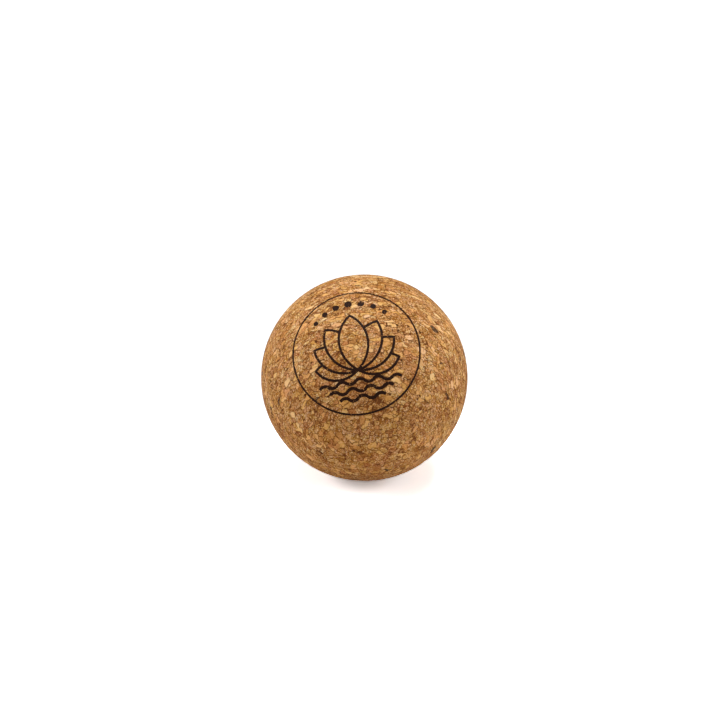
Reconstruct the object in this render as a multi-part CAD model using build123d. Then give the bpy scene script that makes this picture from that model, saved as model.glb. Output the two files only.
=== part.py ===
from build123d import *
import math
import os
import random

# Massage ball of agglomerated cork: flat granules are pressed and bonded into a block, which is
# turned to a ball, sanded and pad-printed with a round badge in dark ink. Sizes in millimetres.
# Frame: origin at the ball's centre, +Z up, and the badge faces -Y, tilted up.

# Ball
BALL_DIAMETER = 65.0
BALL_RADIUS = BALL_DIAMETER / 2
SEAM_TURN = 90.0                # puts the sphere's seam line at the back, away from the badge

# Coarse granules. They lie flat across the pressing direction, like leaves in a stack.
PRESS_AZIMUTH = 12.0            # degrees from -Y towards +X
PRESS_ELEVATION = -8.0          # degrees above the horizontal
GRANULE_TILT = 11.0             # the most that a granule leans out of the stack
GRANULE_FLATNESS = 0.42         # half thickness over mean radius
GRANULE_BEVEL = 0.72            # size of the two flat faces over the size at mid thickness
GRANULE_NARROWEST = 0.7         # least width over length
CORNER_SHIFT = 0.28             # how unevenly the corners are spread, as a share of their pitch
GRANULE_GAP = 0.25              # least binder-filled space between two coarse granules
SITE_DEPTH = 0.3                # deepest centre under the surface, as a share of the radius
CLEAR_OF_POLES = 4.5            # bare distance round the contact point and the top
CLEAR_OF_SEAM = 0.4             # bare distance beside the sphere's seam line
RANDOM_SEED = 65

# Grade: number of granules, smallest and largest mean radius
GRANULE_GRADES = {
    "pale_granules": (44, 1.05, 1.85),
    "honey_granules": (42, 1.05, 2.0),
    "tan_granules": (38, 1.0, 1.9),
    "russet_granules": (32, 0.9, 1.6),
    "brown_granules": (30, 0.8, 1.5),
    "bark_granules": (14, 0.5, 0.85),
}

# Printed badge. Its sizes are measured across the badge's axis.
BADGE_ELEVATION = 43.6          # the badge's axis, above the horizontal
BADGE_TURN = 14.0               # the print's own turn about that axis
INK_THICKNESS = 0.05
RING_RADIUS = 19.15
RING_WIDTH = 0.52

# Petals of the printed lotus, from the front one out to the sides
LOTUS_BASE = -7.4               # height of the point where the petals meet
PETAL_LENGTHS = (18.4, 17.2, 15.6, 13.4)
PETAL_WIDTHS = (9.4, 8.5, 7.5, 6.5)
PETAL_LEANS = (0.0, 28.0, 53.0, 77.0)
PETAL_LINE_WIDTH = 0.74

# Arc of printed dots over the lotus
DOT_COUNT = 7
DOT_ARC_RADIUS = 14.8
DOT_PITCH = 15.0                # degrees along the arc
DOT_RADIUS = 1.15
DOT_SHRINK = 0.13               # how much smaller each dot is than the one nearer the middle

# Printed waves under the lotus
WAVE_HEIGHTS = (-10.1, -12.4, -14.7)
WAVE_CRESTS = (9, 7, 5)         # half waves in each line
WAVE_PITCH = 2.75               # length of a half wave
WAVE_RISE = 0.55
WAVE_LINE_WIDTH = 0.9


def direction(azimuth, elevation):
    """Unit vector, with the azimuth counted from -Y towards +X."""
    turn = math.radians(azimuth)
    rise = math.radians(elevation)
    return Vector(math.sin(turn) * math.cos(rise), -math.cos(turn) * math.cos(rise), math.sin(rise))


def random_direction(rng):
    """Unit vector drawn evenly over the sphere."""
    height = rng.uniform(-1, 1)
    turn = rng.uniform(0, 2 * math.pi)
    level = math.sqrt(1 - height * height)
    return Vector(level * math.cos(turn), level * math.sin(turn), height)


def granules_touch(site, radius, other_site, other_radius, press_axis):
    """True where the flat drums that enclose two granules come closer than the gap."""
    offset = other_site - site
    along = abs(offset.dot(press_axis))
    across = math.sqrt(max(offset.length**2 - along**2, 0))
    reach = radius + other_radius
    lean = math.sin(math.radians(GRANULE_TILT))
    return across < reach + GRANULE_GAP and along < reach * (GRANULE_FLATNESS + lean) + GRANULE_GAP


def granule_is_clear(site, radius):
    """True where a granule keeps off the contact point, the top and the sphere's seam line."""
    off_poles = math.hypot(site.X, site.Y) > CLEAR_OF_POLES
    off_seam = site.Y < -radius or abs(site.X) > radius + CLEAR_OF_SEAM
    return off_poles and off_seam


def place_granules(rng, press_axis):
    """Grade, centre and radius of every coarse granule, none touching another."""
    placed = []
    for grade, (count, smallest, largest) in GRANULE_GRADES.items():
        for radius in sorted((rng.uniform(smallest, largest) for _ in range(count)), reverse=True):
            free = False
            while not free:
                depth = rng.uniform(0, SITE_DEPTH) * radius
                site = random_direction(rng) * (BALL_RADIUS - depth)
                free = granule_is_clear(site, radius) and not any(
                    granules_touch(site, radius, other_site, other_radius, press_axis)
                    for _, other_site, other_radius in placed
                )
            placed.append((grade, site, radius))
    return placed


def granule(rng, site, radius, press_axis):
    """One angular flat granule, an uneven plate with bevelled sides, before the ball is turned."""
    lean = random_direction(rng) * math.sin(math.radians(GRANULE_TILT)) * rng.random()
    plane = Plane(origin=site, z_dir=press_axis + lean, x_dir=random_direction(rng))
    corners = rng.choice([5, 6, 6])
    start = rng.uniform(0, 360)
    narrow = rng.uniform(GRANULE_NARROWEST, 1.0)
    half_thickness = radius * GRANULE_FLATNESS
    points = []
    for corner in range(corners):
        shift = rng.uniform(-CORNER_SHIFT, CORNER_SHIFT)
        angle = math.radians(start + (corner + shift) * 360 / corners)
        x = radius * math.cos(angle)
        y = radius * narrow * math.sin(angle)
        points.append(plane.from_local_coords(Vector(x, y, 0)))
        for height in (-half_thickness, half_thickness):
            bevelled = Vector(x * GRANULE_BEVEL, y * GRANULE_BEVEL, height)
            points.append(plane.from_local_coords(bevelled))
    return ConvexPolyhedron(points)


def cork_parts():
    """The bonded body with a pocket for every coarse granule, and the granules by grade."""
    rng = random.Random(RANDOM_SEED)
    press_axis = direction(PRESS_AZIMUTH, PRESS_ELEVATION)
    ball = Rotation(0, 0, SEAM_TURN) * Sphere(BALL_RADIUS)
    whole_granules = []
    turned_granules = {grade: [] for grade in GRANULE_GRADES}
    for grade, site, radius in place_granules(rng, press_axis):
        whole = granule(rng, site, radius, press_axis)
        whole_granules.append(whole)
        turned_granules[grade].extend((whole & ball).solids())
    body = ball - whole_granules
    groups = {grade: Compound(solids) for grade, solids in turned_granules.items()}
    return {"cork_body": body, **groups}


def ring_sketch():
    """The plain ring round the badge."""
    return Circle(RING_RADIUS + RING_WIDTH / 2) - Circle(RING_RADIUS - RING_WIDTH / 2)


def petal_shape(length, width):
    """A pointed petal from the origin up +Y: two arcs with their widest place halfway."""
    left = ThreePointArc((0, 0), (-width / 2, length / 2), (0, length))
    right = ThreePointArc((0, length), (width / 2, length / 2), (0, 0))
    return make_face(left + right)


def petal_sketches():
    """Outlines of the lotus petals. Each petal hides what lies behind it."""
    sketches = {}
    hidden = None
    number = 1
    base = Pos(0, LOTUS_BASE)
    for length, width, lean in zip(PETAL_LENGTHS, PETAL_WIDTHS, PETAL_LEANS):
        shape = petal_shape(length, width)
        outline = shape - offset(shape, -PETAL_LINE_WIDTH)
        leans = (lean, -lean) if lean else (0.0,)
        petals = [base * Rot(0, 0, turn) * shape for turn in leans]
        for turn in leans:
            petal = base * Rot(0, 0, turn) * outline
            sketches[f"printed_petal_{number}"] = petal - hidden if hidden else petal
            number += 1
        hidden = sum(petals, start=hidden) if hidden else petals[0]
    return sketches


def dot_sketches():
    """Dots on an arc over the lotus, the largest in the middle."""
    sketches = {}
    middle = (DOT_COUNT - 1) / 2
    for index in range(DOT_COUNT):
        step = index - middle
        angle = math.radians(90 - step * DOT_PITCH)
        centre = Pos(DOT_ARC_RADIUS * math.cos(angle), DOT_ARC_RADIUS * math.sin(angle))
        sketches[f"printed_dot_{index + 1}"] = centre * Circle(DOT_RADIUS - abs(step) * DOT_SHRINK)
    return sketches


def wave_sketches():
    """Wavy lines under the lotus, each shorter than the one above."""
    sketches = {}
    for number, (height, crests) in enumerate(zip(WAVE_HEIGHTS, WAVE_CRESTS), start=1):
        line = None
        start_x = -crests * WAVE_PITCH / 2
        for crest in range(crests):
            left = start_x + crest * WAVE_PITCH
            rise = WAVE_RISE if crest % 2 == 0 else -WAVE_RISE
            middle = (left + WAVE_PITCH / 2, height + rise)
            arc = ThreePointArc((left, height), middle, (left + WAVE_PITCH, height))
            line = line + arc if line else arc
        sketches[f"printed_wave_{number}"] = trace(line, WAVE_LINE_WIDTH)
    return sketches


def ink_parts():
    """Every separate island of the print, as a thin film on the ball."""
    axis = direction(0.0, BADGE_ELEVATION)
    badge = Plane(origin=(0, 0, 0), x_dir=(1, 0, 0), z_dir=axis) * Rot(0, 0, BADGE_TURN)
    film = Sphere(BALL_RADIUS + INK_THICKNESS) - Sphere(BALL_RADIUS)
    film = Rotation(0, 0, SEAM_TURN) * film
    sketches = {"printed_ring": ring_sketch(), **petal_sketches(), **dot_sketches(), **wave_sketches()}
    return {name: extrude(badge * sketch, BALL_DIAMETER) & film for name, sketch in sketches.items()}


os.makedirs("parts", exist_ok=True)
for node, shape in {**cork_parts(), **ink_parts()}.items():
    export_step(shape, f"parts/{node}.step")
    print(node, len(shape.solids()), "solids", round(shape.volume, 3), "mm3")
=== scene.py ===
import bmesh
import bpy
import math
import numpy as np
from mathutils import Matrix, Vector
from mathutils.bvhtree import BVHTree
from mathutils.geometry import delaunay_2d_cdt
from mathutils.kdtree import KDTree


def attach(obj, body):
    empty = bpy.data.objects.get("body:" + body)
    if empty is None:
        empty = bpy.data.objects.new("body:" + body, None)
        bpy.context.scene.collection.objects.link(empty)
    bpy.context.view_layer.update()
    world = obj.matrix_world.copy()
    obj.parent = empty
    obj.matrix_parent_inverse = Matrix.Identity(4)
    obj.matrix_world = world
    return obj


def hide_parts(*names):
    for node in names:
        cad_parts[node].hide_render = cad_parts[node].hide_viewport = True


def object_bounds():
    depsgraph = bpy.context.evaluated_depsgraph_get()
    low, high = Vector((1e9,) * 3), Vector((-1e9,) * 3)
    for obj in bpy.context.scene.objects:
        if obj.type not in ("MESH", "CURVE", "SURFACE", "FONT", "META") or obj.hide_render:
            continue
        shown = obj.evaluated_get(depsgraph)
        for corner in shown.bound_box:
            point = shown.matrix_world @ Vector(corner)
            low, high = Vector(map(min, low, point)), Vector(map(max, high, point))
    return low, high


# A ball of agglomerated cork. Each cork granule that shows is its own closed solid with a bevelled
# rim, set in a dark binder core, and the print is a set of thin ink films draped over the granules.
# Everything is in metres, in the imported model's frame.

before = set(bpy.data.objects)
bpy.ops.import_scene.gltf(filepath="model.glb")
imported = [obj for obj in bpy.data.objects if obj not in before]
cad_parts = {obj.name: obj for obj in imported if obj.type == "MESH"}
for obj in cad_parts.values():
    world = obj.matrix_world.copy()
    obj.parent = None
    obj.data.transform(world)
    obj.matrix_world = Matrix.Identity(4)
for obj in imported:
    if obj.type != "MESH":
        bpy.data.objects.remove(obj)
CAD_LOW, CAD_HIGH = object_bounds()
RADIUS = (CAD_HIGH.z - CAD_LOW.z) / 2
MM = 0.001
SEED = 65
WELD = 0.001 * MM                   # vertices closer than this in a CAD mesh are one
# A CAD granule's outer face is higher than the full radius less this, and a film's than it plus this
SKIN_DEPTH = 0.03 * MM

# Cork grades, with each one's share of the fine granules. The names are the CAD nodes.
GRADES = {
    "pale_granules": 0.215,
    "honey_granules": 0.285,
    "tan_granules": 0.272,
    "russet_granules": 0.135,
    "brown_granules": 0.087,
    "bark_granules": 0.006,
}

# How much lighter or darker the coarse granules of each grade are
COARSE_TONES = {
    "pale_granules": 0.6,
    "honey_granules": 0.3,
    "tan_granules": 0.0,
    "russet_granules": -0.4,
    "brown_granules": -0.9,
    "bark_granules": 0.0,
}

# How the granules lie. The block was pressed along one axis, and they are flat across it.
PRESS_AZIMUTH = math.radians(12)    # from -Y towards +X
PRESS_ELEVATION = math.radians(-8)
FLATNESS = 2.0                      # a granule's length across the press axis over its thickness
FINE_RADII = (1.0 * MM, 0.75 * MM, 0.58 * MM, 0.46 * MM)
FINE_TRIES = (2000, 8000, 24000, 44000)
SIZE_SPREAD = (0.85, 1.15)          # least and most of a fine granule's radius over its nominal one
FINE_DEPTH = 0.45 * MM              # fine granules' centres lie up to this far off the surface
CLOSENESS = 0.8                     # nearest approach of two granules over the sum of their radii
BATCH = 2000
SEED_SHARE = 0.45                   # share of the fine cells that begin a granule of their own
LONGEST_ASPECT = 3.2                # length over width of the longest granules
STARTS_WEIGHED = 8                  # how many near granules a cell chooses from
FLATTENED_GRAIN = 0.6               # how much of the press axis is taken out of a lengthwise direction

# How each granule is cut and sanded
CELL_REACH = 2.6 * MM               # cells further apart than this and a radius don't meet
WIDEST_CELL = 3.0 * MM              # the most that a cell reaches from its middle
RIM_STEP = 0.34 * MM                # spacing of the points round a granule's rim
FEWEST_RIM_POINTS = 6
SHORTEST_EDGE = 0.25                # a rim's edge shorter than this share of a step is dropped
SMALLEST_AREA = 0.08 * MM * MM      # a smaller space between granules stays open, as a pit
PIT_AREA = 0.45 * MM * MM           # some of the spaces smaller than this stay open too
PIT_SHARE = 0.06
RIM_WARPS = ((0.2 * MM, 2.6 * MM), (0.075 * MM, 1.0 * MM))     # amount and wavelength
SEAM_LENGTH = 1.7 * MM              # how quickly the seams change in width
SEAM_OPENNESS = (0.3, 0.6)          # the seams' usual openness, and how much it swings
SEAM_HALF_WIDTH = (0.002 * MM, 0.05 * MM)
BEVEL_RUN = (0.02 * MM, 0.07 * MM)
FOOT_ROOM, LIP_ROOM = 0.3, 0.48     # most that the rims move in, as a share of the cell's radius
PLATE_DEPTH = 0.17 * MM
TOP_DROP = 0.05 * MM                # granule tops lie up to this far under the full radius
TOP_DROP_SHAPE = (1.3, 2.2)         # beta distribution of the tops' drops, most of them small
TOP_TILT = 0.02                     # slope of a sanded granule against the ball's surface
CREASE = math.radians(32)           # a sharper edge than this is drawn as one
# The edge attribute also sets how much painted seam shade a granule's lip and sides get
LIP_SHADE, WALL_SHADE = 0.75, 1.0   # the edge attribute on a granule's lip and on its sides
CORE_DROP = 0.13 * MM
CORE_RIPPLE = (0.025 * MM, 1.1 * MM)            # amount and wavelength
PIT_DEPTH = 0.35 * MM
PIT_REACH = (1.6, 0.6 * MM)         # a pit's reach over its radius, and the least reach

# How the granules differ in looks
CRUMBLY_SHARE = 0.72                # share of the fine granules that are clumps of crumbs
PLAIN_SPREAD = 0.45                 # how much more the plain granules differ in tone

# Ink films
INK_STEP = 0.15 * MM                # spacing of the points along an ink outline
INK_GRID = 0.2 * MM
INK_ROW = 0.87                      # spacing of the grid's rows over that of its columns
INK_MARGIN = 0.6                    # the grid keeps this share of a step off the outline
INK_RAGGEDNESS = (0.025 * MM, 0.5 * MM)         # amount and wavelength
INK_ABOVE = 0.03 * MM               # the film's outer face above the cork, and its inner face under
INK_BELOW = 0.02 * MM
INK_CREASE = math.radians(40)
BADGE_SIDE = 0.7                    # the print lies where the badge's axis rises over this share
OPEN_DROP = 0.1 * MM                # cork further down than this is a seam or a pit
BRIDGED_SHARE = 0.4                 # ink spans a gap where this share of its surroundings is cork
BRIDGE_STEPS = 2


def direction(azimuth, elevation):
    """Unit vector, with the azimuth counted from -Y towards +X."""
    return np.array((math.sin(azimuth) * math.cos(elevation),
                     -math.cos(azimuth) * math.cos(elevation), math.sin(elevation)))


PRESS_AXIS = direction(PRESS_AZIMUTH, PRESS_ELEVATION)


def stretched(points):
    """The points with the press axis drawn out, so that a flat granule becomes a round one."""
    return points + np.outer(points @ PRESS_AXIS * (FLATNESS - 1), PRESS_AXIS)


def unit(vectors):
    """The vectors at length 1."""
    return vectors / np.linalg.norm(vectors, axis=-1, keepdims=True)


def ripple(points, length, seed, count=12):
    """Smooth noise over space, about -1 to 1: a handful of plane waves near one wavelength."""
    rng = np.random.default_rng(seed)
    waves = unit(rng.normal(size=(count, 3))) / (length * rng.uniform(0.6, 1.6, (count, 1)))
    phases = rng.uniform(0, 2 * math.pi, count)
    return np.sin(points @ waves.T * 2 * math.pi + phases).sum(axis=1) / math.sqrt(count)


def tree_of(points):
    """A search tree for the points that lie near a place."""
    tree = KDTree(len(points))
    for index, point in enumerate(points):
        tree.insert(point, index)
    tree.balance()
    return tree


def coarse_granules():
    """Centre, radius and grade of each coarse granule, read from the CAD nodes' solids."""
    centres, radii, grades = [], [], []
    for index, grade in enumerate(GRADES):
        bm = bmesh.new()
        bm.from_mesh(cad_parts[grade].data)
        bmesh.ops.remove_doubles(bm, verts=bm.verts, dist=WELD)
        seen = set()
        for start in bm.verts:
            if start in seen:
                continue
            seen.add(start)
            solid, waiting = [], [start]
            while waiting:
                vert = waiting.pop()
                solid.append(vert.co)
                for edge in vert.link_edges:
                    other = edge.other_vert(vert)
                    if other not in seen:
                        seen.add(other)
                        waiting.append(other)
            corners = np.array([co for co in solid if co.length > RADIUS - SKIN_DEPTH], float)
            if len(corners) < 3:
                continue
            centre = unit(corners.mean(axis=0)) * RADIUS
            spread = np.linalg.norm(stretched(corners - centre), axis=1)
            centres.append(centre)
            radii.append(spread.mean())
            grades.append(index)
        bm.free()
    return np.array(centres), np.array(radii), np.array(grades)


def fine_granules(centres, radii, grades):
    """Adds fine granules between the coarse ones, largest first, none overlapping much."""
    rng = np.random.default_rng(SEED)
    shares = np.array(list(GRADES.values()))
    for radius, tries in zip(FINE_RADII, FINE_TRIES):
        for _ in range(0, tries, BATCH):
            depth = rng.uniform(-FINE_DEPTH, FINE_DEPTH, (BATCH, 1))
            found = unit(rng.normal(size=(BATCH, 3))) * (RADIUS + depth)
            sizes = radius * rng.uniform(*SIZE_SPREAD, BATCH)
            places = stretched(found)
            tree = tree_of(stretched(centres))
            reach = radii.max()
            kept = []
            kept_places = np.empty((0, 3))
            kept_sizes = np.empty(0)
            for index in range(BATCH):
                place, size = places[index], sizes[index]
                near = tree.find_range(place, (size + reach) * CLOSENESS)
                if any(gap < (size + radii[other]) * CLOSENESS for _, other, gap in near):
                    continue
                gaps = np.linalg.norm(kept_places - place, axis=1)
                if (gaps < (size + kept_sizes) * CLOSENESS).any():
                    continue
                kept.append(index)
                kept_places = np.vstack((kept_places, place))
                kept_sizes = np.append(kept_sizes, size)
            centres = np.vstack((centres, found[kept]))
            radii = np.append(radii, sizes[kept])
            grades = np.append(grades, rng.choice(len(shares), len(kept), p=shares))
    return centres, radii, grades


def clip(outline, a, b, c, label):
    """The part of a convex outline where a x + b y <= c. Each point carries the label of the
    edge that starts there."""
    kept = []
    for (x0, y0, label0), (x1, y1, _) in zip(outline, outline[1:] + outline[:1]):
        over0, over1 = a * x0 + b * y0 - c, a * x1 + b * y1 - c
        if over0 <= 0:
            kept.append((x0, y0, label0))
        if (over0 < 0 < over1) or (over1 < 0 < over0):
            share = over0 / (over0 - over1)
            kept.append((x0 + (x1 - x0) * share, y0 + (y1 - y0) * share,
                         label if over0 < 0 else label0))
    return kept


def cell_outlines(centres, radii):
    """Each cell's convex outline on the ball, as points round its middle: its share of the
    surface, where it is nearer than any neighbour once the cells' sizes are allowed for."""
    places = stretched(centres)
    tree = tree_of(places)
    powers = (places**2).sum(axis=1) - radii**2
    outlines = {}
    for index, place in enumerate(places):
        up = centres[index] / np.linalg.norm(centres[index])
        east = unit(np.cross(up, (0.31, 0.22, 0.93)))
        north = np.cross(up, east)
        near = [other for _, other, _ in tree.find_range(place, radii[index] + CELL_REACH)]
        near.remove(index)
        normals = stretched(places[near] - place)
        a, b = normals @ east, normals @ north
        c = (powers[near] - powers[index]) / 2 - RADIUS * normals @ up
        width = np.hypot(a, b)
        away = c / width
        outline = [(x * WIDEST_CELL, y * WIDEST_CELL, -1)
                   for x, y in ((-1, -1), (1, -1), (1, 1), (-1, 1))]
        for other in np.argsort(away):
            if away[other] > max(math.hypot(x, y) for x, y, _ in outline):
                break
            outline = clip(outline, a[other], b[other], c[other], near[other])
            if len(outline) < 3:
                break
        if len(outline) >= 3:
            outlines[index] = (np.array(outline), up * RADIUS, east, north)
    return outlines


def rim_of(outline):
    """Points evenly spaced along an outline, its corners among them, and their edges' labels."""
    flat = outline[:, :2]
    ends = np.roll(flat, -1, axis=0)
    lengths = np.linalg.norm(ends - flat, axis=1)
    step = min(RIM_STEP, lengths.sum() / FEWEST_RIM_POINTS)
    points, labels = [], []
    for start, end, length, label in zip(flat, ends, lengths, outline[:, 2]):
        pieces = max(1, round(length / step)) if length > SHORTEST_EDGE * step else 0
        for piece in range(pieces):
            points.append(start + (end - start) * piece / pieces)
            labels.append(int(label))
    return np.array(points), labels


def area_of(flat):
    """Area within an outline of flat points."""
    ends = np.roll(flat, -1, axis=0)
    return (flat[:, 0] * ends[:, 1] - flat[:, 1] * ends[:, 0]).sum() / 2


def granule_of_cells(centres, coarse_count):
    """For each cell, the cell that its granule starts from. Granules are bent chains and clumps
    of a few cells, long in one direction; a coarse granule starts from its own cell."""
    rng = np.random.default_rng(SEED + 2)
    starts = rng.random(len(centres)) < SEED_SHARE
    starts[:coarse_count] = True
    lengthwise = grain_directions(len(centres))
    aspects = rng.uniform(1.0, LONGEST_ASPECT, len(centres))
    starting = np.flatnonzero(starts)
    places = stretched(centres)
    tree = tree_of(places[starting])
    granule = np.arange(len(centres))
    for cell in np.flatnonzero(~starts):
        near = starting[[index for _, index, _ in tree.find_n(places[cell], STARTS_WEIGHED)]]
        offsets = places[cell] - places[near]
        along = (offsets * lengthwise[near]).sum(axis=1)
        across = (offsets**2).sum(axis=1) - along**2
        aspect = aspects[near]
        granule[cell] = near[np.argmin(along**2 / aspect + across * aspect)]
    return granule


def grain_directions(count):
    """Each granule's lengthwise direction, mostly across the press axis."""
    rng = np.random.default_rng(SEED + 4)
    grain = unit(rng.normal(size=(count, 3)))
    return unit(grain - FLATTENED_GRAIN * np.outer(grain @ PRESS_AXIS, PRESS_AXIS))


def surface_cells(centres, radii, granule):
    """Rims, owners and middles of the cells that show, and the pits left between them. A rim
    point's fellow is the granule on the other side of the edge that starts there."""
    rng = np.random.default_rng(SEED + 3)
    outlines = cell_outlines(centres, radii)
    rims, fellows, owners, middles, shown, pits = [], [], [], [], [], []
    for cell, (outline, base, east, north) in outlines.items():
        area = area_of(outline[:, :2])
        middle = base + np.array([outline[:, :2].mean(axis=0)]) @ np.array([east, north])
        rim, labels = rim_of(outline)
        is_pit = area < PIT_AREA and rng.random() < PIT_SHARE
        if area < SMALLEST_AREA or len(rim) < 4 or is_pit:
            pits.append((middle[0], math.sqrt(area / math.pi)))
            continue
        rims.append(base + rim @ np.array([east, north]))
        fellows.extend(granule[label] if label >= 0 else -1 for label in labels)
        owners.append(np.full(len(rim), len(middles)))
        middles.append(middle[0])
        shown.append(cell)
    return rims, np.array(fellows), owners, np.array(middles), np.array(shown), pits


def warped(points):
    """Directions of points pushed about along the surface, alike where granules share an edge."""
    pushed = points.copy()
    for number, (amount, length) in enumerate(RIM_WARPS):
        for axis in range(3):
            pushed[:, axis] += amount * ripple(points, length, SEED + 30 + 3 * number + axis)
    return unit(pushed)


def build_mesh(name, points, triangles, attributes):
    """A smooth-shaded mesh of triangles, with a value or a vector for each point."""
    mesh = bpy.data.meshes.new(name)
    mesh.vertices.add(len(points))
    mesh.vertices.foreach_set("co", np.asarray(points, np.float32).ravel())
    mesh.loops.add(triangles.size)
    mesh.loops.foreach_set("vertex_index", triangles.astype(np.int32).ravel())
    mesh.polygons.add(len(triangles))
    mesh.polygons.foreach_set("loop_start", np.arange(0, triangles.size, 3, dtype=np.int32))
    mesh.polygons.foreach_set("use_smooth", np.ones(len(triangles), bool))
    for key, values in attributes.items():
        kind = "FLOAT_VECTOR" if values.ndim == 2 else "FLOAT"
        field = "vector" if values.ndim == 2 else "value"
        layer = mesh.attributes.new(key, kind, "POINT")
        layer.data.foreach_set(field, values.astype(np.float32).ravel())
    mesh.update(calc_edges=True)
    mesh.validate()
    return mesh


def add_piece(name, mesh, replaced, material):
    """An object that stands for a CAD node."""
    piece = bpy.data.objects.new(name, mesh)
    bpy.context.scene.collection.objects.link(piece)
    mesh.materials.append(material)
    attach(piece, "root")
    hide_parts(replaced)
    return piece


def linked_rims(cells, whole):
    """For each rim point its cell, the next and the previous point of its rim, and whether the
    edge that starts there faces another granule."""
    rims, fellows, owners = cells[:3]
    counts = np.array([len(rim) for rim in rims])
    first = np.concatenate(([0], np.cumsum(counts)[:-1]))
    owner = np.concatenate(owners)
    place_in_rim = np.arange(len(owner)) - first[owner]
    after = first[owner] + (place_in_rim + 1) % counts[owner]
    before = first[owner] + (place_in_rim - 1) % counts[owner]
    return owner, after, before, fellows != whole[owner]


def lips_and_feet(points, cell_radius, after, before, is_outer):
    """Directions of the rims' points on the granules' sanded tops, and at the foot of their
    bevels. Both stand back from the seams, which change in width from place to place."""
    halfway = (points + points[after]) / 2
    inward = unit(np.cross(halfway, points[after] - points))
    usual, change = SEAM_OPENNESS
    openness = np.clip(ripple(halfway, SEAM_LENGTH, SEED + 5) * change + usual, 0, 1) ** 2
    seam = np.interp(openness, (0, 1), SEAM_HALF_WIDTH) * is_outer
    bevel = np.interp(openness, (0, 1), BEVEL_RUN) * is_outer
    sharpness = np.maximum(1 + (inward * inward[before]).sum(axis=1), 0.5)

    def set_in(widths, most):
        """The rim moved inwards by each edge's own width."""
        push = (inward * widths[:, None] + inward[before] * widths[before, None]) / sharpness[:, None]
        size = np.linalg.norm(push, axis=1)
        return unit(points + push * np.minimum(1, most / np.maximum(size, 1e-9))[:, None])

    return set_in(seam + bevel, LIP_ROOM * cell_radius), set_in(seam, FOOT_ROOM * cell_radius)


def granule_looks(rng, grades, coarse_count):
    """Each granule's own tone, hue, crumbliness and lengthwise direction. The coarse granules
    come first, and none of them is crumbly."""
    count = len(grades)
    tone = rng.random(count)
    hue = rng.random(count)
    crumbly = rng.random(count) < CRUMBLY_SHARE
    crumbly[:coarse_count] = False
    tone[~crumbly] += PLAIN_SPREAD * (tone[~crumbly] - 0.5)
    tone[:coarse_count] += np.array(list(COARSE_TONES.values()))[grades[:coarse_count]]
    return {"tone": tone, "hue": hue, "crumbly": crumbly, "grain": grain_directions(count)}


def granule_solids(centres, grades, granule, cells, coarse_count):
    """One mesh for each grade, holding that grade's granules as closed solids. Where a granule
    has several cells they stand side by side with no seam, and share one top surface."""
    rims, _, _, middles, shown, _ = cells
    rng = np.random.default_rng(SEED + 10)
    whole = granule[shown]
    owner, after, before, is_outer = linked_rims(cells, whole)
    points = warped(np.vstack(rims)) * RADIUS
    middle = warped(middles)
    cell_radius = np.linalg.norm(points - middle[owner] * RADIUS, axis=1)
    lip, foot = lips_and_feet(points, cell_radius, after, before, is_outer)

    drop = TOP_DROP * rng.beta(*TOP_DROP_SHAPE, len(centres))
    tilt = rng.normal(size=(len(centres), 3)) * TOP_TILT
    start = warped(centres) * RADIUS

    def top_height(directions, of_granule):
        """Distance from the ball's centre to the granules' sanded tops."""
        lean = (tilt[of_granule] * (directions * RADIUS - start[of_granule])).sum(axis=1)
        return np.minimum(RADIUS - drop[of_granule] + lean, RADIUS)[:, None]

    lip_height = top_height(lip, whole[owner])
    middle_height = top_height(middle, whole)
    tops = lip * lip_height, middle * middle_height
    unders = foot * (lip_height - PLATE_DEPTH), middle * (middle_height - PLATE_DEPTH)
    looks = granule_looks(rng, grades, coarse_count)
    lip_edge = np.where(is_outer | is_outer[before], LIP_SHADE, 0.0)
    pieces = []
    for index, grade in enumerate(GRADES):
        chosen = grades[whole] == index
        on_rim = chosen[owner]
        rim_count, cell_count = on_rim.sum(), chosen.sum()
        rim_slot, middle_slot = np.cumsum(on_rim) - 1, np.cumsum(chosen) - 1
        lip_at, lip_next = rim_slot[on_rim], rim_slot[after[on_rim]]
        foot_at, foot_next = lip_at + rim_count, lip_next + rim_count
        top_at = middle_slot[owner[on_rim]] + 2 * rim_count
        under_at = top_at + cell_count
        vertices = np.vstack((tops[0][on_rim], unders[0][on_rim], tops[1][chosen], unders[1][chosen]))
        triangles = np.vstack((
            np.stack((top_at, lip_at, lip_next), axis=1),
            np.stack((lip_at, foot_at, foot_next), axis=1),
            np.stack((lip_at, foot_next, lip_next), axis=1),
            np.stack((under_at, foot_next, foot_at), axis=1),
        ))
        of_rim, of_middle = whole[owner[on_rim]], whole[chosen]
        of_granule = np.concatenate((of_rim, of_rim, of_middle, of_middle))
        attributes = {key: values[of_granule] for key, values in looks.items()}
        # Edge values set the painted seam shade: some on the lip, full on the sides and underside
        attributes["edge"] = np.concatenate((lip_edge[on_rim], np.full(rim_count, WALL_SHADE),
                                             np.zeros(cell_count), np.full(cell_count, WALL_SHADE)))
        mesh = build_mesh(grade, vertices, triangles, attributes)
        mesh.set_sharp_from_angle(angle=CREASE)
        cork = grade.replace("granules", "cork")
        pieces.append(add_piece(cork, mesh, grade, cork_material(cork, CORK_COLOURS[grade])))
    return pieces


def binder_core(pits):
    """The dark bonded core that shows in the seams and pits."""
    bm = bmesh.new()
    bmesh.ops.create_icosphere(bm, subdivisions=6, radius=1.0)
    directions = unit(np.array([vert.co for vert in bm.verts], float))
    triangles = np.array([[vert.index for vert in face.verts] for face in bm.faces])
    bm.free()
    points = directions * RADIUS
    amount, wavelength = CORE_RIPPLE
    depth = CORE_DROP + amount * ripple(points, wavelength, SEED + 20)
    tree = tree_of(points)
    times, least = PIT_REACH
    for middle, size in pits:
        reach = max(size * times, least)
        for _, index, gap in tree.find_range(middle, reach):
            depth[index] = max(depth[index], CORE_DROP + PIT_DEPTH * (1 - (gap / reach) ** 2))
    mesh = build_mesh("binder_core", directions * (RADIUS - depth)[:, None], triangles, {})
    return add_piece("binder_core", mesh, "cork_body", binder_material())


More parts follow.
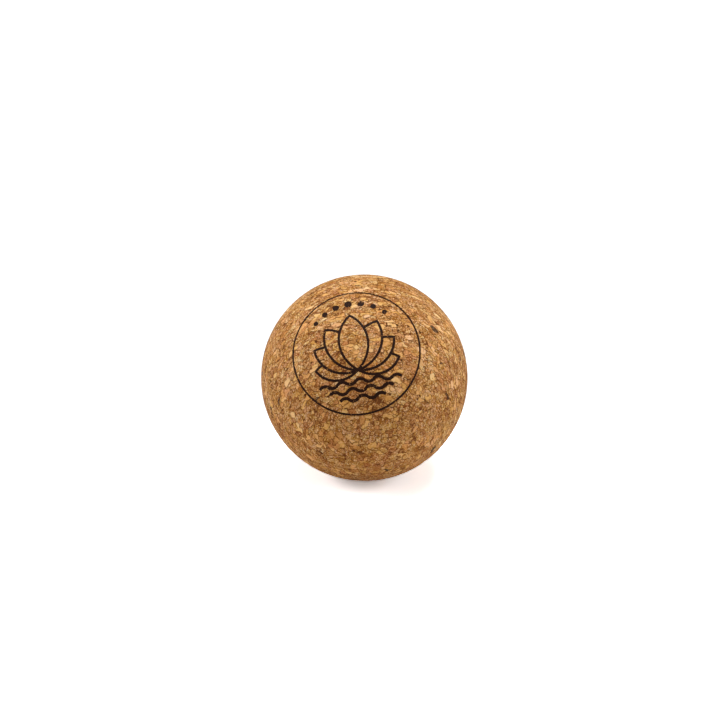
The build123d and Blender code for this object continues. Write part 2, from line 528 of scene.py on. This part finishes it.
# Ink
def badge_frame():
    """The badge's own right, up and outward directions, from the printed ring's place."""
    ring = np.array([vert.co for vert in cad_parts["printed_ring"].data.vertices], float)
    axis = unit(ring.max(axis=0) + ring.min(axis=0))
    axis = unit(np.array((0.0, axis[1], axis[2])))
    across = np.array((1.0, 0.0, 0.0))
    return across, np.cross(axis, across), axis


def printed_outlines(node, across, up):
    """Closed outlines of an ink node's outer face in the badge's plane, cut into short steps."""
    bm = bmesh.new()
    bm.from_mesh(node.data)
    bmesh.ops.remove_doubles(bm, verts=bm.verts, dist=WELD)
    outer = {face for face in bm.faces if min(v.co.length for v in face.verts) > RADIUS + SKIN_DEPTH}
    rim = {e.index: e for e in bm.edges if sum(face in outer for face in e.link_faces) == 1}
    outlines = []
    while rim:
        edge = rim.pop(next(iter(rim)))
        corners, here = [edge.verts[0].co], edge.verts[1]
        while edge:
            corners.append(here.co)
            edge = next((e for e in here.link_edges if e.index in rim), None)
            if edge:
                rim.pop(edge.index)
                here = edge.other_vert(here)
        corners = np.array(corners[:-1] if corners[0] == corners[-1] else corners, float)
        flat = np.stack((corners @ across, corners @ up), axis=1)
        points = []
        for start, end in zip(flat, np.roll(flat, -1, axis=0)):
            pieces = max(1, math.ceil(np.linalg.norm(end - start) / INK_STEP))
            points.extend(start + (end - start) * piece / pieces for piece in range(pieces))
        points = np.array(points)
        places = np.column_stack((points, np.zeros(len(points))))
        amount, wavelength = INK_RAGGEDNESS
        for side in (0, 1):
            points[:, side] += amount * ripple(places, wavelength, SEED + 40 + side)
        outlines.append(points)
    bm.free()
    return outlines


def is_inside(points, outlines):
    """For each point, whether it lies within the outlines; a hole is an outline inside another."""
    inside = np.zeros(len(points), bool)
    for outline in outlines:
        for (x0, y0), (x1, y1) in zip(outline, np.roll(outline, -1, axis=0)):
            if y0 != y1:
                spans = (points[:, 1] < y0) != (points[:, 1] < y1)
                meets = x0 + (points[:, 1] - y0) * (x1 - x0) / (y1 - y0)
                inside ^= spans & (points[:, 0] < meets)
    return inside


def film_triangles(outlines):
    """The area within the outlines as small triangles: flat points and triples of them."""
    rim = np.vstack(outlines)
    low, high = rim.min(axis=0), rim.max(axis=0)
    columns, rows = np.meshgrid(np.arange(low[0], high[0], INK_GRID),
                                np.arange(low[1], high[1], INK_GRID * INK_ROW))
    columns[1::2] += INK_GRID / 2
    grid = np.column_stack((columns.ravel(), rows.ravel()))
    tree = tree_of(np.column_stack((rim, np.zeros(len(rim)))))
    gaps = np.array([tree.find((x, y, 0))[2] for x, y in grid])
    grid = grid[gaps > INK_MARGIN * INK_STEP]
    grid = grid[is_inside(grid, outlines)]
    edges, start = [], 0
    for outline in outlines:
        count = len(outline)
        edges.extend((start + step, start + (step + 1) % count) for step in range(count))
        start += count
    flat = np.vstack((rim, grid)) / MM
    verts, _, faces, _, _, _ = delaunay_2d_cdt([Vector(p) for p in flat], edges, [], 0, 1e-5)
    flat, faces = np.array(verts) * MM, np.array(faces)
    return flat, faces[is_inside(flat[faces].mean(axis=1), outlines)]


def cork_surface(pieces, axis):
    """A search tree of the cork's triangles on the badge's side."""
    points, triangles, start = [], [], 0
    for piece in pieces:
        mesh = piece.data
        corners = np.empty(3 * len(mesh.vertices), np.float32)
        mesh.vertices.foreach_get("co", corners)
        corners = corners.reshape(-1, 3)
        faces = np.empty(len(mesh.loops), np.int32)
        mesh.loops.foreach_get("vertex_index", faces)
        faces = faces.reshape(-1, 3)
        faces = faces[corners[faces[:, 0]] @ axis > BADGE_SIDE * RADIUS]
        points.extend(corners.tolist())
        triangles.extend((faces + start).tolist())
        start += len(corners)
    return BVHTree.FromPolygons(points, triangles, all_triangles=True)


def ink_film(name, surface, across, up, axis):
    """One printed island as a thin closed film that follows the cork and breaks at its pits."""
    flat, faces = film_triangles(printed_outlines(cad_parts[name], across, up))
    rise = np.sqrt(RADIUS**2 - (flat**2).sum(axis=1))
    outward = unit(flat[:, :1] * across + flat[:, 1:] * up + rise[:, None] * axis)
    heights = np.empty(len(outward))
    for index, out in enumerate(outward):
        hit = surface.ray_cast(Vector(out * (RADIUS + MM)), Vector(-out), 2 * MM)[0]
        heights[index] = hit.length if hit else 0
    is_open = heights < RADIUS - OPEN_DROP
    links = np.unique(np.sort(np.vstack((faces[:, :2], faces[:, 1:], faces[:, ::2]))), axis=0)
    links = np.vstack((links, links[:, ::-1]))
    all_near = np.bincount(links[:, 0], minlength=len(flat))
    for _ in range(BRIDGE_STEPS):
        whole = ~is_open[links[:, 1]]
        closed_near = np.bincount(links[:, 0], whole, len(flat))
        height_near = np.bincount(links[:, 0], heights[links[:, 1]] * whole, len(flat))
        bridged = is_open & (closed_near > BRIDGED_SHARE * all_near)
        heights[bridged] = height_near[bridged] / closed_near[bridged]
        is_open &= ~bridged
    faces = faces[~is_open[faces].any(axis=1)]

    used, faces = np.unique(faces, return_inverse=True)
    faces = faces.reshape(-1, 3)
    out, height = outward[used], heights[used][:, None]
    corners = out[faces]
    facing = (np.cross(corners[:, 1] - corners[:, 0], corners[:, 2] - corners[:, 0]) * corners[:, 0])
    faces[facing.sum(axis=1) < 0] = faces[facing.sum(axis=1) < 0][:, ::-1]
    sides = np.vstack((faces[:, (0, 1)], faces[:, (1, 2)], faces[:, (2, 0)]))
    count = len(used)
    codes = sides[:, 0] * count + sides[:, 1]
    rim = sides[~np.isin(codes, sides[:, 1] * count + sides[:, 0])]
    triangles = np.vstack((
        faces,
        faces[:, ::-1] + count,
        np.stack((rim[:, 1], rim[:, 0], rim[:, 0] + count), axis=1),
        np.stack((rim[:, 1], rim[:, 0] + count, rim[:, 1] + count), axis=1),
    ))
    vertices = np.vstack((out * (height + INK_ABOVE), out * (height - INK_BELOW)))
    mesh = build_mesh(name, vertices, triangles, {})
    mesh.set_sharp_from_angle(angle=INK_CREASE)
    return mesh


# Materials
def srgb(red, green, blue):
    """Linear colour, with alpha, from the usual 0 to 255 values."""
    def linear(value):
        value /= 255
        return value / 12.92 if value <= 0.04045 else ((value + 0.055) / 1.055) ** 2.4
    return (linear(red), linear(green), linear(blue), 1.0)


# Each grade's dark, middle and light tones, 0 to 255
CORK_COLOURS = {
    "pale_granules": ((156, 104, 44), (210, 159, 96), (216, 179, 133)),
    "honey_granules": ((150, 96, 32), (204, 151, 86), (211, 170, 121)),
    "tan_granules": ((142, 89, 31), (196, 143, 82), (206, 162, 113)),
    "russet_granules": ((126, 73, 27), (188, 132, 76), (200, 152, 106)),
    "brown_granules": ((96, 53, 20), (169, 116, 63), (190, 142, 94)),
    "bark_granules": ((30, 26, 21), (66, 52, 38), (114, 92, 68)),
}
# Dark brown for growth lines and crumb gaps, and for the painted shade at the granules' rims and sides
DARK_MARK_AND_SHADE_COLOUR = srgb(96, 50, 14)
FLECK_COLOUR = srgb(222, 176, 118)
PORE_COLOUR = srgb(62, 30, 10)
YELLOW_TINT = (0.985, 1.02, 0.955, 1)
PINK_TINT = (1.015, 0.945, 0.985, 1)
BINDER_COLOURS = ((52, 26, 10), (88, 49, 20), (128, 80, 38))
INK_COLOURS = ((27, 13, 8), (34, 17, 10), (54, 32, 18))

# Sizes of the cork's patterns
STRAND_SIZE = 0.34 * MM
CELL_SIZE = 0.22 * MM
PATCH_SIZE = 1.6 * MM
REGION_SIZE = 7.0 * MM
CRUMB_SIZE = 0.4 * MM
GROWTH_SPACING = 0.7 * MM
PORE_SPACING = 0.9 * MM
STRAND_DRAW = 0.76                  # how much shorter the grain is made, to draw its strands out
CRUMB_DRAW = 0.456
CRUMB_SCATTER = (0.5 * MM, (0.4 * MM,) * 3)     # size and amount of the crumbs' unevenness

# How far each pattern moves the tone along its grade's three colours
GRANULE_TONE = 0.34
CRUMB_TONE = 1.16
STRAND_TONE = 1.28
CELL_TONE = 0.9
PATCH_TONE = 0.62
REGION_TONE = 1.0

# How strongly each dark or light mark covers the cork's colour
GAP_COVER = 0.74
PORE_COVER = 0.85
FLECK_COVER = 0.16
GROWTH_COVER = 0.45
# The next two cover the granules' rims and sides with painted seam shade
RIM_SHADE_COVER = 0.75
SIDE_SHADE_COVER = 0.8


def add_node(tree, kind, inputs, **settings):
    """A shader node with its settings, and its inputs set to values or linked to sockets."""
    node = tree.nodes.new("ShaderNode" + kind)
    for key, value in settings.items():
        setattr(node, key, value)
    for key, value in inputs.items():
        if isinstance(value, bpy.types.NodeSocket):
            tree.links.new(value, node.inputs[key])
        else:
            node.inputs[key].default_value = value
    return node


def calculated(tree, operation, first, second=0.0, third=0.0):
    node = add_node(tree, "Math", {0: first, 1: second, 2: third}, operation=operation)
    return node.outputs[0]


def product(tree, first, second):
    return calculated(tree, "MULTIPLY", first, second)


def swing(tree, value, amount):
    """The value's span from 0 to 1 carried over to one as wide as the amount, about zero."""
    return calculated(tree, "MULTIPLY_ADD", value, amount, -amount / 2)


def remapped(tree, value, low, high, to_low=0.0, to_high=1.0):
    """The value's span from low to high, smoothly carried over to another span."""
    inputs = {"Value": value, "From Min": low, "From Max": high, "To Min": to_low, "To Max": to_high}
    return add_node(tree, "MapRange", inputs, interpolation_type="SMOOTHSTEP").outputs["Result"]


def vector_result(tree, operation, inputs, output=0):
    return add_node(tree, "VectorMath", inputs, operation=operation).outputs[output]


def attribute(tree, name, output="Fac"):
    return add_node(tree, "Attribute", {}, attribute_name=name).outputs[output]


def channel(tree, colour, index):
    return add_node(tree, "SeparateColor", {"Color": colour}).outputs[index]


def blended(tree, factor, first, second, blend="MIX"):
    inputs = {0: factor, 6: first, 7: second}
    return add_node(tree, "Mix", inputs, data_type="RGBA", blend_type=blend).outputs[2]


def noise(tree, place, size, detail=2.0, roughness=0.5, distortion=0.0, output=0):
    """Noise with features of about one size, in metres."""
    inputs = {"Vector": place, "Scale": 1 / size, "Detail": detail, "Roughness": roughness,
              "Distortion": distortion}
    return add_node(tree, "TexNoise", inputs).outputs[output]


def colour_ramp(tree, factor, colours):
    """Colours, given as 0 to 255 values, spread evenly over the factor's span from 0 to 1."""
    node = add_node(tree, "ValToRGB", {0: factor})
    stops = node.color_ramp.elements
    while len(stops) < len(colours):
        stops.new(0.5)
    for index, colour in enumerate(colours):
        stops[index].position = index / (len(colours) - 1)
        stops[index].color = srgb(*colour)
    return node.outputs[0]


def finish_shader(tree, shader, colour, roughness, relief, bump_strength, bump_distance):
    """Links the shader's colour, roughness and relief."""
    inputs = {"Height": relief, "Strength": bump_strength, "Distance": bump_distance}
    bump = add_node(tree, "Bump", inputs)
    tree.links.new(colour, shader.inputs["Base Color"])
    tree.links.new(roughness, shader.inputs["Roughness"])
    tree.links.new(bump.outputs["Normal"], shader.inputs["Normal"])


def new_material(name):
    material = bpy.data.materials.new(name)
    material.use_nodes = True
    tree = material.node_tree
    place = add_node(tree, "TexCoord", {}).outputs["Object"]
    return material, tree, tree.nodes["Principled BSDF"], place


def drawn_out(tree, place, grain, along, share):
    """The place made shorter along the grain by a share, which draws a pattern out that way."""
    shift = vector_result(tree, "SCALE", {0: grain, "Scale": product(tree, along, -share)})
    return vector_result(tree, "ADD", {0: place, 1: shift})


def crumb_pattern(tree, place, drawn):
    """Crumbs pressed together: a random value for each one, and the gaps between them."""
    size, amount = CRUMB_SCATTER
    scatter = noise(tree, place, size, output="Color")
    scattered = vector_result(tree, "MULTIPLY_ADD", {0: scatter, 1: amount, 2: drawn})
    inputs = {"Vector": scattered, "Scale": 1 / CRUMB_SIZE}
    crumbs = add_node(tree, "TexVoronoi", inputs)
    gaps = add_node(tree, "TexVoronoi", inputs, feature="DISTANCE_TO_EDGE")
    gaps = remapped(tree, gaps.outputs["Distance"], 0.1, 0.03)
    return channel(tree, crumbs.outputs["Color"], 1), gaps


def growth_lines(tree, along, patches, hue):
    """Wavering dark lines across the grain, in about half of the granules."""
    waves = calculated(tree, "MULTIPLY_ADD", along, 2 * math.pi / GROWTH_SPACING,
                       product(tree, patches, 12.0))
    lines = remapped(tree, calculated(tree, "SINE", waves), 0.5, 1.0)
    return product(tree, lines, remapped(tree, hue, 0.45, 0.8, 0.0, GROWTH_COVER))


def pore_pattern(tree, place):
    """Small round pores at some of the points of a loose scatter."""
    spots = add_node(tree, "TexVoronoi", {"Vector": place, "Scale": 1 / PORE_SPACING})
    pores = remapped(tree, spots.outputs["Distance"], 0.2, 0.1)
    chosen = channel(tree, spots.outputs["Color"], 0)
    return product(tree, pores, remapped(tree, chosen, 0.6, 0.64))


def seam_shade(tree, place, edge):
    """Painted shade, broken here and there, on a granule's top next to its rim, and darker all over its
    sides, which sit down in the seams.
    """
    broken = remapped(tree, noise(tree, place, 0.9 * MM), 0.42, 0.62)
    rim_shade = product(tree, remapped(tree, edge, 0.5, 0.76), product(tree, broken, RIM_SHADE_COVER))
    side_shade = remapped(tree, edge, 0.76, 0.9, 0.0, SIDE_SHADE_COVER)
    return calculated(tree, "MAXIMUM", rim_shade, side_shade)


def cork_material(name, colours):
    """Sanded cork: one tone for each granule, crumbs and their gaps, strands along the grain,
    mottled cells, growth lines, pores, pale flecks, and painted shade at the rims and on the sides."""
    material, tree, shader, place = new_material(name)
    tone, hue = attribute(tree, "tone"), attribute(tree, "hue")
    crumbly, edge = attribute(tree, "crumbly"), attribute(tree, "edge")
    grain = attribute(tree, "grain", "Vector")
    along = vector_result(tree, "DOT_PRODUCT", {0: place, 1: grain}, "Value")
    strands = noise(tree, drawn_out(tree, place, grain, along, STRAND_DRAW), STRAND_SIZE, 3.0, 0.6, 0.5)
    cells = noise(tree, place, CELL_SIZE, 2.0, 0.6)
    patches = noise(tree, place, PATCH_SIZE, 2.0, 0.6, 0.6)
    regions = noise(tree, place, REGION_SIZE, 1.0)
    crumbs, gaps = crumb_pattern(tree, place, drawn_out(tree, place, grain, along, CRUMB_DRAW))

    level = calculated(tree, "MULTIPLY_ADD", tone, GRANULE_TONE, 0.5 - GRANULE_TONE / 2)
    level = calculated(tree, "ADD", level, product(tree, crumbly, swing(tree, crumbs, CRUMB_TONE)))
    for pattern, amount in ((strands, STRAND_TONE), (cells, CELL_TONE), (patches, PATCH_TONE),
                            (regions, REGION_TONE)):
        level = calculated(tree, "ADD", level, swing(tree, pattern, amount))
    colour = colour_ramp(tree, level, colours)

    turn = calculated(tree, "ADD", hue, swing(tree, patches, 1.2))
    yellow = blended(tree, 1.0, colour, YELLOW_TINT, "MULTIPLY")
    pink = blended(tree, 1.0, colour, PINK_TINT, "MULTIPLY")
    colour = blended(tree, remapped(tree, turn, 0.1, 0.9), yellow, pink)

    growth = growth_lines(tree, along, patches, hue)
    pores = pore_pattern(tree, place)
    flecks = remapped(tree, cells, 0.62, 0.72, 0.0, FLECK_COVER)
    gaps = product(tree, product(tree, gaps, crumbly), GAP_COVER)
    colour = blended(tree, growth, colour, DARK_MARK_AND_SHADE_COLOUR)
    colour = blended(tree, product(tree, pores, PORE_COVER), colour, PORE_COLOUR)
    colour = blended(tree, flecks, colour, FLECK_COLOUR)
    colour = blended(tree, gaps, colour, DARK_MARK_AND_SHADE_COLOUR)
    # Painted shade at the seams: round each granule's rim and all over its sides
    colour = blended(tree, seam_shade(tree, place, edge), colour, DARK_MARK_AND_SHADE_COLOUR)

    relief = calculated(tree, "MULTIPLY_ADD", pores, -1.0, strands)
    relief = calculated(tree, "MULTIPLY_ADD", growth, -0.6, relief)
    relief = calculated(tree, "MULTIPLY_ADD", gaps, -0.8, relief)
    roughness = remapped(tree, cells, 0.3, 0.7, 0.84, 0.66)
    finish_shader(tree, shader, colour, roughness, relief, 0.6, 0.05 * MM)
    shader.inputs["Specular IOR Level"].default_value = 0.1
    return material


def binder_material():
    """Dark polyurethane binder with cork dust in it."""
    material, tree, shader, place = new_material("binder")
    dust = noise(tree, place, 0.25 * MM, 3.0, 0.6)
    roughness = remapped(tree, dust, 0.3, 0.7, 0.5, 0.8)
    finish_shader(tree, shader, colour_ramp(tree, dust, BINDER_COLOURS), roughness, dust, 0.6, 0.08 * MM)
    shader.inputs["Specular IOR Level"].default_value = 0.08
    return material


def ink_material():
    """Matt pad-printing ink, brown-black and browner where it lies thin."""
    material, tree, shader, place = new_material("ink")
    thinness = noise(tree, place, 0.5 * MM, 3.0, 0.6)
    roughness = remapped(tree, thinness, 0.3, 0.7, 0.5, 0.68)
    fine = noise(tree, place, 0.12 * MM)
    finish_shader(tree, shader, colour_ramp(tree, thinness, INK_COLOURS), roughness, fine, 0.4, 0.02 * MM)
    shader.inputs["Specular IOR Level"].default_value = 0.06
    return material


# The ball
coarse = coarse_granules()
coarse_count = len(coarse[0])
centres, radii, grades = fine_granules(*coarse)
granule = granule_of_cells(centres, coarse_count)
cells = surface_cells(centres, radii, granule)
granules = granule_solids(centres, grades, granule, cells, coarse_count)
core = binder_core(cells[-1])

# The print
across, up, axis = badge_frame()
surface = cork_surface(granules + [core], axis)
ink = ink_material()
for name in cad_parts:
    if name.startswith("printed"):
        film = ink_film(name, surface, across, up, axis)
        add_piece(name.replace("printed", "ink"), film, name, ink)


# Floor, light and camera
FLOOR_REACH = 0.9                   # half the floor's width
FLOOR_COLOUR = (0.76, 0.7, 0.62, 1)
# Painted glare: the camera sees the floor brighter than card, most near the ball's contact point
SEEN_FLOOR = (2.55, 2.67, 2.78)     # the floor's colour to the camera, in the ball's shadow
NEAR_EXPOSURE = (20 * MM, 57 * MM, 1.0, 0.3)    # from and to a distance, from and to a share
FAR_EXPOSURE = (150 * MM, 600 * MM, 1.0, 1.8)
FILL_LIGHT = 0.17                   # brightness of the surroundings, which the camera sees as white

# Softboxes: place, size and power
SOFTBOXES = {
    "top": ((0.0, 0.1, 1.0), 0.8, 12.7),
    "left": ((-1.0, -0.1, 0.45), 0.7, 8.1),
    "right": ((1.0, -0.1, 0.45), 0.7, 6.7),
}

CAMERA_AZIMUTH = math.radians(7.3)
CAMERA_ELEVATION = math.radians(27.5)
CAMERA_DISTANCE = 0.5303
LENS = 85
AIM_SHIFT = (-0.01098, 0.02965)     # how far the aim lies right of and above the ball, in frame widths


def floor_material():
    """Plain pale card to the light that falls on it. To the camera it shows painted glare,
    overexposed as a studio floor is on a white ground, which pales the ball's shadow. The overexposure
    changes with the distance from the ball's contact point alone."""
    material = bpy.data.materials.new("floor")
    material.use_nodes = True
    tree = material.node_tree
    tree.nodes.remove(tree.nodes["Principled BSDF"])
    place = add_node(tree, "TexCoord", {}).outputs["Object"]
    level = vector_result(tree, "MULTIPLY", {0: place, 1: (1, 1, 0)})
    away = vector_result(tree, "LENGTH", {0: level}, "Value")
    exposure = product(tree, remapped(tree, away, *NEAR_EXPOSURE), remapped(tree, away, *FAR_EXPOSURE))
    glare = vector_result(tree, "SCALE", {0: SEEN_FLOOR, "Scale": exposure})
    seen = add_node(tree, "LightPath", {}).outputs["Is Camera Ray"]
    plain = add_node(tree, "BsdfDiffuse", {"Color": FLOOR_COLOUR}).outputs[0]
    bright = add_node(tree, "BsdfDiffuse", {"Color": glare}).outputs[0]
    both = add_node(tree, "MixShader", {0: seen, 1: plain, 2: bright}).outputs[0]
    tree.links.new(both, tree.nodes["Material Output"].inputs["Surface"])
    return material


def add_floor():
    """A flat square under the ball."""
    mesh = bpy.data.meshes.new("floor")
    corners = [(x * FLOOR_REACH, y * FLOOR_REACH, CAD_LOW.z)
               for x, y in ((-1, -1), (1, -1), (1, 1), (-1, 1))]
    mesh.from_pydata(corners, [], [(0, 1, 2, 3)])
    mesh.materials.append(floor_material())
    floor = bpy.data.objects.new("floor", mesh)
    bpy.context.scene.collection.objects.link(floor)


def add_lights():
    """White surroundings, which light the ball only a little, and three softboxes."""
    world = bpy.data.worlds.new("studio")
    world.use_nodes = True
    tree = world.node_tree
    seen = add_node(tree, "LightPath", {}).outputs["Is Camera Ray"]
    strength = calculated(tree, "MULTIPLY_ADD", seen, 1 - FILL_LIGHT, FILL_LIGHT)
    tree.nodes["Background"].inputs["Color"].default_value = (1, 1, 1, 1)
    tree.links.new(strength, tree.nodes["Background"].inputs["Strength"])
    bpy.context.scene.world = world
    for name, (place, size, power) in SOFTBOXES.items():
        lamp = bpy.data.lights.new(name, "AREA")
        lamp.shape = "SQUARE"
        lamp.size = size
        lamp.energy = power
        softbox = bpy.data.objects.new(name, lamp)
        softbox.location = place
        softbox.rotation_mode = "QUATERNION"
        softbox.rotation_quaternion = (-Vector(place)).to_track_quat("-Z", "Y")
        bpy.context.scene.collection.objects.link(softbox)


def add_camera():
    """The camera, in front of the ball and above it."""
    lens = bpy.data.cameras.new("camera")
    lens.lens = LENS
    lens.clip_start, lens.clip_end = 0.01, 20
    camera = bpy.data.objects.new("camera", lens)
    bpy.context.scene.collection.objects.link(camera)
    back = Vector(direction(CAMERA_AZIMUTH, CAMERA_ELEVATION))
    right = Vector((math.cos(CAMERA_AZIMUTH), math.sin(CAMERA_AZIMUTH), 0))
    frame_width = lens.sensor_width / LENS * CAMERA_DISTANCE
    camera.location = back * CAMERA_DISTANCE
    aim = (right * AIM_SHIFT[0] + back.cross(right) * AIM_SHIFT[1]) * frame_width
    camera.rotation_mode = "QUATERNION"
    camera.rotation_quaternion = (aim - camera.location).to_track_quat("-Z", "Y")
    bpy.context.scene.camera = camera


add_floor()
add_lights()
add_camera()
bpy.context.scene.view_settings.view_transform = "Standard"
